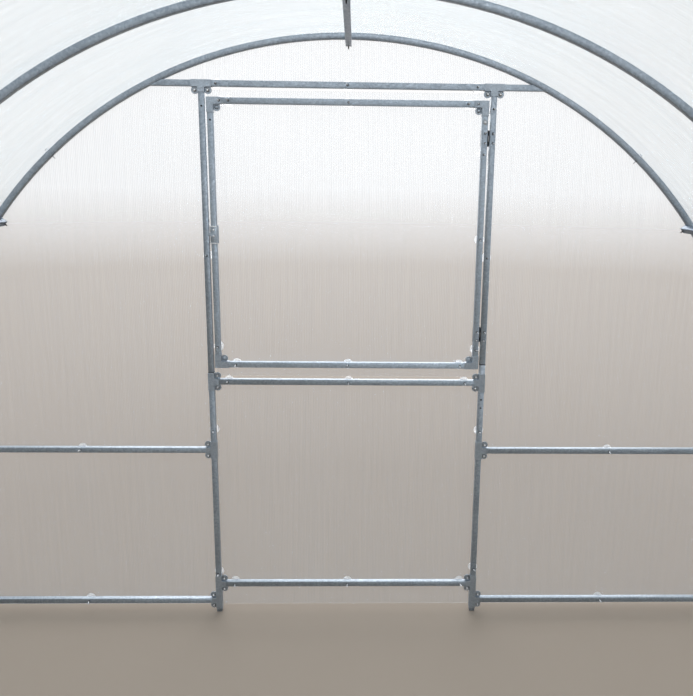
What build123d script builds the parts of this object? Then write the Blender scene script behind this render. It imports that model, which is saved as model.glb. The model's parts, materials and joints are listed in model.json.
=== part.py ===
"""Arched greenhouse: a galvanised square tube frame under twin wall polycarbonate sheet.

Millimetres, +Z up, the length along Y. The origin is at ground level in the middle of the plan.
The front end wall, at -Y, has a hinged hatch leaf over a fixed lower panel.
The back end wall, at +Y, has the same posts with two such leaves, one above the other.
Left is -X and right is +X, as seen by someone outside who faces the front end.
"""

import math
import os

from build123d import *

# Overall size of the frame
SPAN = 3000.0
LEG_HEIGHT = 600.0
LENGTH = 4000.0
BAYS = 6

# Square tube of the frame
TUBE = 20.0
TUBE_WALL = 1.2

# Small running and seating clearances
SEAT = 0.3
CLAMP_PLAY = 0.15

# Longitudinal tubes
SIDE_PURLIN_ANGLE = 36.5
BASE_RAIL_HEIGHT = 45.0

# End wall: heights are those of tube centre lines, and the lintel hangs from the arch's crown
DOORWAY_WIDTH = 955.0
LINTEL_DROP = 164.0
MID_RAIL_HEIGHT = 655.0
CROSSBAR_HEIGHT = 915.0
LOW_CROSSBAR_HEIGHT = 115.0

# Posts are two lengths of tube that meet at a crimped neck
LEFT_POST_JOINT = 984.0
RIGHT_POST_JOINT = 951.0
POST_JOINT_GAP = 3.0
NECK_LENGTH = 40.0
NECK_WALL = 1.0

# Hinged leaves, between the posts
LEAF_SIDE_GAP = 7.0
LEAF_TOP_GAP = 34.0
LEAF_FOOT_GAP = 44.0
LEAF_STACK_GAP = 9.0
LOWER_LEAF_FOOT = 37.0

# Stamped clamps that join the tubes, their two halves bolted together at the ears
CLAMP_SHEET = 1.5
TEE_BAR_REACH = 34.0
TEE_STEM_REACH = 28.0
ELL_REACH = 38.0
EAR_OFFSET = 12.0
EAR_RADIUS = 11.0
EAR_SIDES = 8

# Polycarbonate sheet
SHEET = 4.0
SHEET_FOOT = 20.0
ROOF_OVERHANG = 65.0
ROOF_LAP = 70.0
LAP_RUN = 200.0
END_SHEET_TRIM = 2.0
SHEET_SEAM = 1.0
LEAF_SHEET_GAP = 8.0

# Hinges of the leaves
HINGE_LENGTH = 52.0
HINGE_LEAF_WIDTH = 23.0
HINGE_LEAF_THICKNESS = 2.0
HINGE_INSET = 120.0
KNUCKLE_RADIUS = 4.5
PIN_RADIUS = 2.5
PIN_PLAY = 0.1
PIN_HEAD = 1.5
KNUCKLE_GAP = 0.4

# Latch plates, one on each face of a leaf's free stile
LATCH_WIDTH = 24.0
LATCH_LENGTH = 62.0
LATCH_THICKNESS = 2.0
LATCH_BELOW_TOP = 453.0

# Sizes that follow from those above
OUTER_RADIUS = SPAN / 2
INNER_RADIUS = OUTER_RADIUS - TUBE
BAY = (LENGTH - TUBE) / BAYS
LINTEL_HEIGHT = LEG_HEIGHT + OUTER_RADIUS - LINTEL_DROP
END_Y = LENGTH / 2
WALL_Y = END_Y - TUBE / 2
POST_X = DOORWAY_WIDTH / 2 + TUBE / 2
LEAF_HALF_WIDTH = DOORWAY_WIDTH / 2 - LEAF_SIDE_GAP
UPPER_LEAF_TOP = LINTEL_HEIGHT - TUBE / 2 - LEAF_TOP_GAP
UPPER_LEAF_FOOT = CROSSBAR_HEIGHT + TUBE / 2 + LEAF_FOOT_GAP
LOWER_LEAF_TOP = UPPER_LEAF_FOOT - LEAF_STACK_GAP
CLAMP_STAND = CLAMP_PLAY + CLAMP_SHEET
SHEET_STAND = CLAMP_STAND + SEAT
SHEET_Y = END_Y + SHEET_STAND
HINGE_LEAF_Y = SHEET_Y + SHEET + SEAT
HINGE_AXIS_Y = HINGE_LEAF_Y + KNUCKLE_RADIUS
HINGE_AXIS_X = DOORWAY_WIDTH / 2 - LEAF_SIDE_GAP / 2


def at_back(shape):
    """The same piece at the other end of the greenhouse."""
    return mirror(shape, Plane.XZ)


def across(shape):
    """The same piece on the other side of the middle plane."""
    return mirror(shape, Plane.YZ)


def both_sides(shape):
    """A piece and its mirror image across the middle plane."""
    return [shape, across(shape)]


def block(low, high):
    """A box between two corners."""
    size = [b - a for a, b in zip(low, high)]
    centre = [(a + b) / 2 for a, b in zip(low, high)]
    return Pos(*centre) * Box(*size)


def tube(start, end, facing=None):
    """A length of the frame's square tube, open at both ends, one of its sides turned to facing."""
    run = Vector(*end) - Vector(*start)
    bore = TUBE - 2 * TUBE_WALL
    section = Rectangle(TUBE, TUBE) - Rectangle(bore, bore)
    return extrude(Plane(origin=start, x_dir=facing, z_dir=run) * section, run.length)


def arch_outline(radius, foot):
    """A filled arch in the XZ plane: a half disc on straight legs that end at foot."""
    sides = [
        Line((-radius, foot), (-radius, LEG_HEIGHT)),
        ThreePointArc((-radius, LEG_HEIGHT), (0, LEG_HEIGHT + radius), (radius, LEG_HEIGHT)),
        Line((radius, LEG_HEIGHT), (radius, foot)),
        Line((radius, foot), (-radius, foot)),
    ]
    return Plane.XZ * make_face(sides)


def arch_band(outer, inner, foot, start, end):
    """An arch-shaped band between two radii, from y = start to y = end."""
    face = arch_outline(outer, foot) - arch_outline(inner, foot)
    return Pos(0, end, 0) * extrude(face, end - start)


def arch(y):
    """One bent bar, a half circle on two straight legs, centred on y; the legs are open tube."""
    half = TUBE / 2
    bar = arch_band(OUTER_RADIUS, INNER_RADIUS, 0, y - half, y + half)
    for side in (-1, 1):
        x = side * (INNER_RADIUS + half)
        bore_half = half - TUBE_WALL
        bar -= block((x - bore_half, y - bore_half, 0), (x + bore_half, y + bore_half, LEG_HEIGHT))
    return bar


def arch_places():
    """Node name and y of each arch, from the front end to the back."""
    names = ["front_end_arch"]
    names += [f"arch_{number}" for number in range(2, BAYS + 1)]
    names += ["back_end_arch"]
    return [(name, -WALL_Y + index * BAY) for index, name in enumerate(names)]


def purlin(angle):
    """A full-length tube that lies against the inside of the arches, at an angle from level."""
    radius = INNER_RADIUS - SEAT - TUBE / 2
    outward = (math.cos(math.radians(angle)), 0, math.sin(math.radians(angle)))
    x = radius * outward[0]
    z = LEG_HEIGHT + radius * outward[2]
    return tube((x, -END_Y, z), (x, END_Y, z), outward)


def base_rail():
    """The right-hand tube along the foot of the arches, between the end walls' bottom rails."""
    x = INNER_RADIUS - SEAT - TUBE / 2
    reach = END_Y - TUBE
    return tube((x, -reach, BASE_RAIL_HEIGHT), (x, reach, BASE_RAIL_HEIGHT))


def inside_width(height):
    """Half the clear width inside the arch, at a height."""
    rise = max(height - LEG_HEIGHT, 0)
    return math.sqrt(INNER_RADIUS**2 - rise**2)


def post(side, joint):
    """Two lengths of tube, the lower one with a crimped neck that enters the upper one."""
    x = side * POST_X
    lower_end = joint - POST_JOINT_GAP / 2
    upper_start = joint + POST_JOINT_GAP / 2
    lower = tube((x, -WALL_Y, 0), (x, -WALL_Y, lower_end))
    neck_side = TUBE - 2 * TUBE_WALL - 2 * SEAT
    neck_bore = neck_side - 2 * NECK_WALL
    collar = Rectangle(TUBE, TUBE) - Rectangle(neck_bore, neck_bore)
    neck = Rectangle(neck_side, neck_side) - Rectangle(neck_bore, neck_bore)
    lower += extrude(Pos(x, -WALL_Y, lower_end - TUBE_WALL) * collar, TUBE_WALL)
    lower += extrude(Pos(x, -WALL_Y, lower_end) * neck, NECK_LENGTH)
    upper = tube((x, -WALL_Y, upper_start), (x, -WALL_Y, LINTEL_HEIGHT - TUBE / 2))
    return [lower, upper]


def lintel():
    """The bar over the doorway, its ends cut to lie against the arch."""
    reach = inside_width(LINTEL_HEIGHT - TUBE / 2)
    bar = tube((-reach, -WALL_Y, LINTEL_HEIGHT), (reach, -WALL_Y, LINTEL_HEIGHT))
    slope = math.degrees(math.asin((LINTEL_HEIGHT - LEG_HEIGHT) / INNER_RADIUS))
    depth = 4 * TUBE
    offcut = Pos(INNER_RADIUS - SEAT + depth / 2, 0, 0) * Box(depth, depth, depth)
    offcut = Pos(0, -WALL_Y, LEG_HEIGHT) * (Rot(0, -slope, 0) * offcut)
    return bar - offcut - across(offcut)


def side_rail(height):
    """The right-hand level tube from the post to the arch."""
    start = POST_X + TUBE / 2
    end = inside_width(height + TUBE / 2) - SEAT
    return tube((start, -WALL_Y, height), (end, -WALL_Y, height))


def crossbar(height):
    """A tube between the two posts."""
    reach = DOORWAY_WIDTH / 2
    return tube((-reach, -WALL_Y, height), (reach, -WALL_Y, height))


def clamp(x, z, arms, ears):
    """A stamped clamp round tubes of the front wall that cross at x, z.

    arms lists (direction x, direction z, reach); ears lists the corners that hold a bolt.
    """
    inner = TUBE / 2 + CLAMP_PLAY
    outer = inner + CLAMP_SHEET
    sleeves = []
    bores = []
    for dx, dz, reach in arms:
        for half, length, boxes in ((outer, reach, sleeves), (inner, reach + outer, bores)):
            low = (min(-half, dx * length), -half, min(-half, dz * length))
            high = (max(half, dx * length), half, max(half, dz * length))
            boxes.append(block(low, high))
    body = sleeves[0].fuse(*sleeves[1:])
    centre = TUBE / 2 + EAR_OFFSET
    for dx, dz in ears:
        web = Pos(dx * centre / 2, dz * centre / 2) * Rectangle(centre, centre)
        disc = Pos(dx * centre, dz * centre) * RegularPolygon(EAR_RADIUS, EAR_SIDES, rotation=180 / EAR_SIDES)
        body += extrude(Plane.XZ * (web + disc), CLAMP_SHEET, both=True)
    body -= bores[0].fuse(*bores[1:])
    return Pos(x, -WALL_Y, z) * body


def tee_on_bar(x, z, down):
    """A clamp where a post ends against a level bar."""
    bar = [(-1, 0, TEE_BAR_REACH), (1, 0, TEE_BAR_REACH)]
    return clamp(x, z, bar + [(0, down, TEE_STEM_REACH)], [(-1, down), (1, down)])


def tee_on_post(x, z, side):
    """A clamp where a level bar ends against a post, on its inner or outer side."""
    bar = [(0, -1, TEE_BAR_REACH), (0, 1, TEE_BAR_REACH)]
    return clamp(x, z, bar + [(side, 0, TEE_STEM_REACH)], [(side, -1), (side, 1)])


def ell(x, z, side, up):
    """A clamp at a leaf's corner, its arms running to side and up."""
    return clamp(x, z, [(side, 0, ELL_REACH), (0, up, ELL_REACH)], [(side, up)])


def wall_clamps(inner_bars):
    """The clamps of one end wall; inner_bars are the heights of the bars between the posts."""
    pieces = []
    for side in (-1, 1):
        x = side * POST_X
        pieces.append(tee_on_bar(x, LINTEL_HEIGHT, -1))
        for height in (MID_RAIL_HEIGHT, BASE_RAIL_HEIGHT):
            pieces.append(tee_on_post(x, height, side))
        for height in inner_bars:
            pieces.append(tee_on_post(x, height, -side))
    return pieces


def end_sheet(outline_low, outline_high):
    """The part of the end wall's sheet between two corners, given as (x, z)."""
    radius = OUTER_RADIUS - END_SHEET_TRIM
    whole = arch_outline(radius, SHEET_FOOT)
    width = outline_high[0] - outline_low[0]
    height = outline_high[1] - outline_low[1]
    centre = ((outline_low[0] + outline_high[0]) / 2, (outline_low[1] + outline_high[1]) / 2)
    window = Plane.XZ * (Pos(*centre) * Rectangle(width, height))
    return Pos(0, -SHEET_Y, 0) * extrude(whole & window, SHEET)


def wall_sheets(prefix):
    """Side and top sheets of one end wall, in the front wall's place."""
    edge = DOORWAY_WIDTH / 2
    crown = LEG_HEIGHT + OUTER_RADIUS
    right = end_sheet((edge, 0), (OUTER_RADIUS, crown))
    top_edge = edge - SHEET_SEAM
    top = end_sheet((-top_edge, LINTEL_HEIGHT - TUBE / 2), (top_edge, crown))
    return {
        f"{prefix}_left_sheet": across(right),
        f"{prefix}_right_sheet": right,
        f"{prefix}_top_sheet": top,
    }


def leaf_tubes(bottom, top):
    """Stiles and rails of one leaf whose frame reaches from bottom to top."""
    x = LEAF_HALF_WIDTH - TUBE / 2
    stile = tube((x, -WALL_Y, bottom), (x, -WALL_Y, top))
    inner = LEAF_HALF_WIDTH - TUBE
    rails = []
    for z in (bottom + TUBE / 2, top - TUBE / 2):
        rails.append(tube((-inner, -WALL_Y, z), (inner, -WALL_Y, z)))
    return both_sides(stile), rails


def leaf_clamps(bottom, top):
    """The four corner clamps of one leaf."""
    x = LEAF_HALF_WIDTH - TUBE / 2
    pieces = []
    for side in (-1, 1):
        pieces.append(ell(side * x, top - TUBE / 2, -side, -1))
        pieces.append(ell(side * x, bottom + TUBE / 2, -side, 1))
    return pieces


def leaf_sheet(low, high):
    """The sheet of one leaf, from height low to height high."""
    y = -SHEET_Y
    return block((-LEAF_HALF_WIDTH, y - SHEET, low), (LEAF_HALF_WIDTH, y, high))


def hinge_heights(bottom, top):
    """Middle heights of the two hinges of a leaf."""
    return [top - HINGE_INSET, bottom + HINGE_INSET]


def hinge_barrel(z, low, high, radius):
    """A round of the hinge's barrel, between two heights measured from the hinge's middle."""
    centre = (-HINGE_AXIS_X, -HINGE_AXIS_Y, z + (low + high) / 2)
    return Pos(*centre) * Cylinder(radius, high - low)


def hinge(z):
    """Post plate, leaf plate and pin of one hinge on the left post, in that order."""
    x = -HINGE_AXIS_X
    face = -HINGE_LEAF_Y
    back = face - HINGE_LEAF_THICKNESS
    half = HINGE_LENGTH / 2
    sixth = HINGE_LENGTH / 6
    beside = KNUCKLE_RADIUS + SEAT
    under = beside + SEAT
    fixed = block((x - HINGE_LEAF_WIDTH, back, z - half), (x - beside, face, z + half))
    moving = block((x + beside, back, z - half), (x + HINGE_LEAF_WIDTH, face, z + half))
    for low, high in ((-half, -sixth - KNUCKLE_GAP), (sixth + KNUCKLE_GAP, half)):
        fixed += block((x - under, back, z + low), (x, face, z + high))
        fixed += hinge_barrel(z, low, high, KNUCKLE_RADIUS)
    moving += block((x, back, z - sixth), (x + under, face, z + sixth))
    moving += hinge_barrel(z, -sixth, sixth, KNUCKLE_RADIUS)
    bore = hinge_barrel(z, -HINGE_LENGTH, HINGE_LENGTH, PIN_RADIUS + PIN_PLAY)
    pin = hinge_barrel(z, -half - SEAT, half + SEAT, PIN_RADIUS)
    pin += hinge_barrel(z, half + SEAT, half + SEAT + PIN_HEAD, KNUCKLE_RADIUS)
    return fixed - bore, moving - bore, pin


def closed_hinge(z):
    """One hinge on the left post that stays shut: both plates and the barrel in one piece."""
    x = -HINGE_AXIS_X
    face = -HINGE_LEAF_Y
    half = HINGE_LENGTH / 2
    low = (x - HINGE_LEAF_WIDTH, face - HINGE_LEAF_THICKNESS, z - half)
    plates = block(low, (x + HINGE_LEAF_WIDTH, face, z + half))
    return plates + hinge_barrel(z, -half, half, KNUCKLE_RADIUS)


def latch(top):
    """The plates on the two faces of a leaf's free stile, on the right."""
    x = LEAF_HALF_WIDTH - TUBE / 2
    z = top - LATCH_BELOW_TOP
    half_width = LATCH_WIDTH / 2
    half_length = LATCH_LENGTH / 2
    plates = []
    inside = -END_Y + TUBE
    outside = -SHEET_Y - SHEET - SEAT
    for face, away in ((inside, 1), (outside, -1)):
        other = face + away * LATCH_THICKNESS
        low = (x - half_width, min(face, other), z - half_length)
        high = (x + half_width, max(face, other), z + half_length)
        plates.append(block(low, high))
    return plates


def ramp_band(outer, inner, lift, start, end):
    """An arch-shaped band that stands lift further out at y = start than at y = end."""
    section = Polygon((inner + lift, start), (outer + lift, start), (outer, end), (inner, end), align=None)
    crown = Pos(0, 0, LEG_HEIGHT) * revolve(section, Axis.Y, -180)
    wall = extrude(Pos(0, 0, SHEET_FOOT) * section, LEG_HEIGHT - SHEET_FOOT, dir=(0, 0, 1))
    return crown + wall + across(wall)


def roof_sheets():
    """Two sheets bent over the arches; the back one laps over the front one at mid length."""
    inner = OUTER_RADIUS + SEAT
    outer = inner + SHEET
    lap = ROOF_LAP / 2
    reach = END_Y + ROOF_OVERHANG
    front = arch_band(outer, inner, SHEET_FOOT, -reach, lap)
    settle = lap + LAP_RUN
    lift = (SHEET + SEAT) * (settle + lap) / LAP_RUN
    back = ramp_band(outer, inner, lift, -lap, settle)
    back += arch_band(outer, inner, SHEET_FOOT, settle, reach)
    return {"roof_sheet_front": front, "roof_sheet_back": back}


def end_wall_frame(prefix):
    """Tubes common to both end walls, in the front wall's place."""
    rails = both_sides(side_rail(MID_RAIL_HEIGHT)) + both_sides(side_rail(BASE_RAIL_HEIGHT))
    return {
        f"{prefix}_left_post": post(-1, LEFT_POST_JOINT),
        f"{prefix}_right_post": post(1, RIGHT_POST_JOINT),
        f"{prefix}_lintel": lintel(),
        f"{prefix}_side_rails": rails,
    }


def front_end():
    """The end wall with the hatch leaf over a fixed panel."""
    pieces = end_wall_frame("front")
    pieces["front_crossbars"] = [crossbar(CROSSBAR_HEIGHT), crossbar(LOW_CROSSBAR_HEIGHT)]
    pieces["front_clamps"] = wall_clamps((CROSSBAR_HEIGHT, LOW_CROSSBAR_HEIGHT))
    pieces.update(wall_sheets("front"))
    panel_edge = DOORWAY_WIDTH / 2 - SHEET_SEAM
    panel_top = CROSSBAR_HEIGHT + TUBE / 2
    pieces["front_lower_sheet"] = end_sheet((-panel_edge, 0), (panel_edge, panel_top))
    stiles, rails = leaf_tubes(UPPER_LEAF_FOOT, UPPER_LEAF_TOP)
    pieces["leaf_stiles"] = stiles
    pieces["leaf_rails"] = rails
    pieces["leaf_clamps"] = leaf_clamps(UPPER_LEAF_FOOT, UPPER_LEAF_TOP)
    sheet_top = LINTEL_HEIGHT - TUBE / 2 - LEAF_SHEET_GAP
    pieces["leaf_sheet"] = leaf_sheet(panel_top + LEAF_SHEET_GAP, sheet_top)
    pieces["leaf_latch"] = latch(UPPER_LEAF_TOP)
    hinges = [hinge(z) for z in hinge_heights(UPPER_LEAF_FOOT, UPPER_LEAF_TOP)]
    for name, index in (("hinge_post_plates", 0), ("hinge_leaf_plates", 1), ("hinge_pins", 2)):
        pieces[name] = [parts[index] for parts in hinges]
    return pieces


def back_end():
    """The end wall with two leaves, one above the other, in the back wall's place."""
    pieces = end_wall_frame("back")
    pieces["back_clamps"] = wall_clamps(())
    pieces.update(wall_sheets("back"))
    stiles, rails, clamps, latches, hinges = [], [], [], [], []
    for bottom, top in ((UPPER_LEAF_FOOT, UPPER_LEAF_TOP), (LOWER_LEAF_FOOT, LOWER_LEAF_TOP)):
        leaf_stiles, leaf_rails = leaf_tubes(bottom, top)
        stiles += leaf_stiles
        rails += leaf_rails
        clamps += leaf_clamps(bottom, top)
        latches += latch(top)
        for z in hinge_heights(bottom, top):
            hinges.append(closed_hinge(z))
    pieces["back_leaf_stiles"] = stiles
    pieces["back_leaf_rails"] = rails
    pieces["back_leaf_clamps"] = clamps
    pieces["back_latches"] = latches
    pieces["back_hinges"] = hinges
    sheet_top = LINTEL_HEIGHT - TUBE / 2 - LEAF_SHEET_GAP
    upper = leaf_sheet(LOWER_LEAF_TOP + LEAF_STACK_GAP, sheet_top)
    pieces["back_leaf_sheets"] = [upper, leaf_sheet(SHEET_FOOT, LOWER_LEAF_TOP)]
    moved = {}
    for name, shape in pieces.items():
        solids = shape if isinstance(shape, list) else [shape]
        moved[name] = [at_back(solid) for solid in solids]
    return moved


def greenhouse():
    """Every node of the greenhouse, by name."""
    pieces = {name: arch(y) for name, y in arch_places()}
    pieces["ridge_purlin"] = purlin(90)
    pieces["side_purlins"] = both_sides(purlin(SIDE_PURLIN_ANGLE))
    pieces["base_rails"] = both_sides(base_rail())
    pieces.update(roof_sheets())
    pieces.update(front_end())
    pieces.update(back_end())
    return pieces


os.makedirs("parts", exist_ok=True)
for node, shape in greenhouse().items():
    if isinstance(shape, list):
        shape = Compound(children=shape)
    export_step(shape, f"parts/{node}.step")
    print(node, len(shape.solids()), "solids")
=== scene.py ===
# %% [markdown]
# # An arched greenhouse, seen from inside
# The frame of this greenhouse is already drawn: tubes, clamps, sheets and hinges are all solids.
# What is missing is what the eye looks for: zinc that has crystallised on the steel, the flutes of the clear
# sheet, and the bolts, nuts, screws and washers that hold it all together.
# We load the solids first. They stay where they are, and everything that we add sits on them.

# %% Load the frame
import json
import math
import random

import bmesh
import bpy
from mathutils import Matrix, Vector


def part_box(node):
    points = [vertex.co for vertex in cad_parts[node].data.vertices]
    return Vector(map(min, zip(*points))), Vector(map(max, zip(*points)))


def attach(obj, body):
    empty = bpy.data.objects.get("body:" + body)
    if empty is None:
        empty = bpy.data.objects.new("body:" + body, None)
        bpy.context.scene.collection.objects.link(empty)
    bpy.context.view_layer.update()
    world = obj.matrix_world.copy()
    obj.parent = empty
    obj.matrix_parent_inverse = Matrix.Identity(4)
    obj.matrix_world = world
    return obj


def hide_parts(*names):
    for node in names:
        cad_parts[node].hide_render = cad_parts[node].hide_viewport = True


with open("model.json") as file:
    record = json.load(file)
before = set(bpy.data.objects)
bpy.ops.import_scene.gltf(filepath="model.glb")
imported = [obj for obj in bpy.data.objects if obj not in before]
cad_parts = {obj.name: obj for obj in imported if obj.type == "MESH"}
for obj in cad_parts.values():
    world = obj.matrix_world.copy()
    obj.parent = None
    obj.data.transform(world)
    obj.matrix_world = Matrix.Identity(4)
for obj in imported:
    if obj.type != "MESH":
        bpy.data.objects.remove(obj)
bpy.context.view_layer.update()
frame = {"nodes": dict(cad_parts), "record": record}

scene = bpy.context.scene
cad_nodes = frame["nodes"]

# %% [markdown]
# ## A start for every finish
# Each finish begins the same way, with one shader whose steady values are typed into its sockets. Small
# functions keep the later cells short. Noise could also be painted on by hand, but a pattern worked out
# from the place on the object has no seams and fits any length of tube.

# %% Helpers for finishes
def new_finish(name, colour, roughness, metallic=0.0):
    """A new material; returns it with its nodes, its links and its Principled shader."""
    finish = bpy.data.materials.new(name)
    finish.use_nodes = True
    tree = finish.node_tree
    shader = tree.nodes["Principled BSDF"]
    shader.inputs["Base Color"].default_value = (*colour, 1.0)
    shader.inputs["Roughness"].default_value = roughness
    shader.inputs["Metallic"].default_value = metallic
    return finish, tree.nodes, tree.links, shader


def stretched_place(nodes, links, scale=(1.0, 1.0, 1.0)):
    """The place on the object, stretched by a scale for each axis."""
    place = nodes.new("ShaderNodeTexCoord")
    stretch = nodes.new("ShaderNodeMapping")
    stretch.inputs["Scale"].default_value = scale
    links.new(place.outputs["Object"], stretch.inputs["Vector"])
    return stretch.outputs["Vector"]


def noise(nodes, links, place, scale, detail):
    """Cloudy values between 0 and 1."""
    cloud = nodes.new("ShaderNodeTexNoise")
    cloud.inputs["Scale"].default_value = scale
    cloud.inputs["Detail"].default_value = detail
    links.new(place, cloud.inputs["Vector"])
    return cloud.outputs["Fac"]


def ramp(nodes, links, value, stops):
    """Colours for a value; stops are (position, (r, g, b))."""
    colours = nodes.new("ShaderNodeValToRGB")
    elements = colours.color_ramp.elements
    for element, (position, colour) in zip(elements, (stops[0], stops[-1])):
        element.position = position
        element.color = (*colour, 1.0)
    for position, colour in stops[1:-1]:
        elements.new(position).color = (*colour, 1.0)
    links.new(value, colours.inputs["Fac"])
    return colours.outputs["Color"]


def spread(nodes, links, value, low, high, start=0.0, end=1.0):
    """Values from start to end, stretched to run from low to high."""
    scaled = nodes.new("ShaderNodeMapRange")
    limits = {"From Min": start, "From Max": end, "To Min": low, "To Max": high}
    for socket, limit in limits.items():
        scaled.inputs[socket].default_value = limit
    links.new(value, scaled.inputs["Value"])
    return scaled.outputs["Result"]


def combined(nodes, links, operation, first, second, clamp=False):
    """Two values made into one by an operation, such as ADD or MAXIMUM."""
    maths = nodes.new("ShaderNodeMath")
    maths.operation = operation
    maths.use_clamp = clamp
    links.new(first, maths.inputs[0])
    links.new(second, maths.inputs[1])
    return maths.outputs["Value"]


def multiply_colour(nodes, links, colour, other, amount):
    """One colour darkened by another."""
    mixed = nodes.new("ShaderNodeMix")
    mixed.data_type = "RGBA"
    mixed.blend_type = "MULTIPLY"
    mixed.inputs["Factor"].default_value = amount
    links.new(colour, mixed.inputs["A"])
    links.new(other, mixed.inputs["B"])
    return mixed.outputs["Result"]


def bump(nodes, links, shader, height, distance, strength):
    """Small relief, its height in metres."""
    relief = nodes.new("ShaderNodeBump")
    relief.inputs["Distance"].default_value = distance
    relief.inputs["Strength"].default_value = strength
    links.new(height, relief.inputs["Height"])
    links.new(relief.outputs["Normal"], shader.inputs["Normal"])


# %% [markdown]
# ## Hot-dip galvanised steel
# The tubes are dipped in molten zinc. As it cools, crystals of a few millimetres spread over the steel, and
# each one turns the light its own way. A Voronoi pattern has just such cells: its random cell value gives
# each crystal a tone and a gloss of its own. Slow clouds add the dull patches where the zinc has weathered.
# The tubes of the leaf get a lighter, duller zinc, its level ones lighter still: the lighter tone is painted
# light. The long tubes of the roof get a darker zinc.

# %% Galvanised steel
PATCH_SCALE, GRAIN_SCALE, GRAIN_HEIGHT = 7.0, 260.0, 0.0002
DULL_PATCH, CLEAN_PATCH = (0.86, 0.87, 0.88), (1.0, 1.0, 1.0)


def galvanised(name, dark, light, crystal, metallic, roughness):
    """Zinc-coated steel; crystal is the size of the zinc crystals in metres."""
    finish, nodes, links, shader = new_finish(name, light, roughness, metallic)
    place = stretched_place(nodes, links)
    cells = nodes.new("ShaderNodeTexVoronoi")
    cells.inputs["Scale"].default_value = 1.0 / crystal
    cells.inputs["Randomness"].default_value = 1.0
    links.new(place, cells.inputs["Vector"])
    chance = nodes.new("ShaderNodeSeparateColor")
    links.new(cells.outputs["Color"], chance.inputs["Color"])
    brightest = tuple(1.12 * channel for channel in light)
    crystals = ramp(nodes, links, chance.outputs["Red"], [(0.0, dark), (0.75, light), (1.0, brightest)])
    clouds = noise(nodes, links, place, PATCH_SCALE, 5.0)
    patches = ramp(nodes, links, clouds, [(0.3, DULL_PATCH), (0.65, CLEAN_PATCH)])
    links.new(multiply_colour(nodes, links, crystals, patches, 0.8), shader.inputs["Base Color"])
    gloss = spread(nodes, links, chance.outputs["Green"], roughness - 0.1, roughness + 0.12)
    links.new(gloss, shader.inputs["Roughness"])
    bump(nodes, links, shader, noise(nodes, links, place, GRAIN_SCALE, 2.0), GRAIN_HEIGHT, 0.5)
    return finish


tube_zinc = galvanised("tube zinc", (0.27, 0.315, 0.365), (0.345, 0.395, 0.45), 0.005, 0.85, 0.42)
# The leaf's stiles and rails are lighter copies of the tube zinc: painted light.
lit_stile_zinc = galvanised("lit stile zinc", (0.33, 0.382, 0.44), (0.405, 0.463, 0.527), 0.005, 0.75, 0.50)
lit_rail_zinc = galvanised("lit leaf rail zinc", (0.365, 0.425, 0.49), (0.45, 0.515, 0.585), 0.005, 0.75, 0.50)
purlin_zinc = galvanised("purlin zinc", (0.16, 0.207, 0.27), (0.205, 0.26, 0.333), 0.005, 0.85, 0.42)
clamp_zinc = galvanised("clamp zinc", (0.31, 0.355, 0.405), (0.385, 0.435, 0.49), 0.003, 0.85, 0.42)
print("finishes:", tube_zinc.name, lit_stile_zinc.name, lit_rail_zinc.name, purlin_zinc.name, clamp_zinc.name)

# %% [markdown]
# ## Plated steel, near-black steel and painted shade
# Screws and the ends of bolts have a thin bright coat from a plating bath. It has no crystals, only fine
# smudges, and it is smoother and brighter than the tubes. Nuts have a darker, duller coat. The hinges get a
# near-black steel that hardly shines. The same steel is painted shade in the open holes, in the burrs round
# the screw tips and in the gaps of the posts' joints.

# %% Plated steel, near-black steel and painted shade
SMUDGE_SCALE, POLISH_SCALE, POLISH_HEIGHT = 45.0, 900.0, 0.00005


def plated(name, colour, roughness, metallic=0.9):
    """Smooth steel with smudges."""
    finish, nodes, links, shader = new_finish(name, colour, roughness, metallic)
    place = stretched_place(nodes, links)
    smudges = noise(nodes, links, place, SMUDGE_SCALE, 4.0)
    dull = tuple(0.72 * channel for channel in colour)
    links.new(ramp(nodes, links, smudges, [(0.35, dull), (0.6, colour)]), shader.inputs["Base Color"])
    links.new(spread(nodes, links, smudges, roughness - 0.08, roughness + 0.12), shader.inputs["Roughness"])
    bump(nodes, links, shader, noise(nodes, links, place, POLISH_SCALE, 2.0), POLISH_HEIGHT, 0.4)
    return finish


# Bright zinc also paints a highlight on the rolled ends of the latch.
bright_zinc_and_highlight = plated("bright zinc and highlight", (0.86, 0.88, 0.90), 0.22, 0.6)
nut_zinc = plated("dull zinc", (0.33, 0.35, 0.37), 0.34)
# The near-black steel is also painted shade in holes, burrs and the posts' joint gaps.
dark_steel_and_painted_shade = plated("dark steel and painted shade", (0.011, 0.012, 0.013), 0.75, 0.0)
print("finishes:", bright_zinc_and_highlight.name, nut_zinc.name, dark_steel_and_painted_shade.name)

# %% [markdown]
# ## Clear twin wall sheet
# The sheet is two thin skins of clear plastic, held apart by a rib every few millimetres. We see through it,
# but each rib catches the light, and the skins between the ribs bow a little, so that it looks streaked.
# Real ribs in every sheet would be hundreds of thousands of faces. The solid sheet with a see-through shader
# gives the same picture: its alpha rises at the ribs and changes a little from flute to flute.
# A Wave texture of scale 1 turns by 20 radians a metre, which gives the scale for one band at each rib.

# %% Twin wall sheet
RIB_PITCH, RIB_HEIGHT, RIB_HAZE = 0.006, 0.00025, 0.10
WAVE_TURN = 20.0


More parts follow.
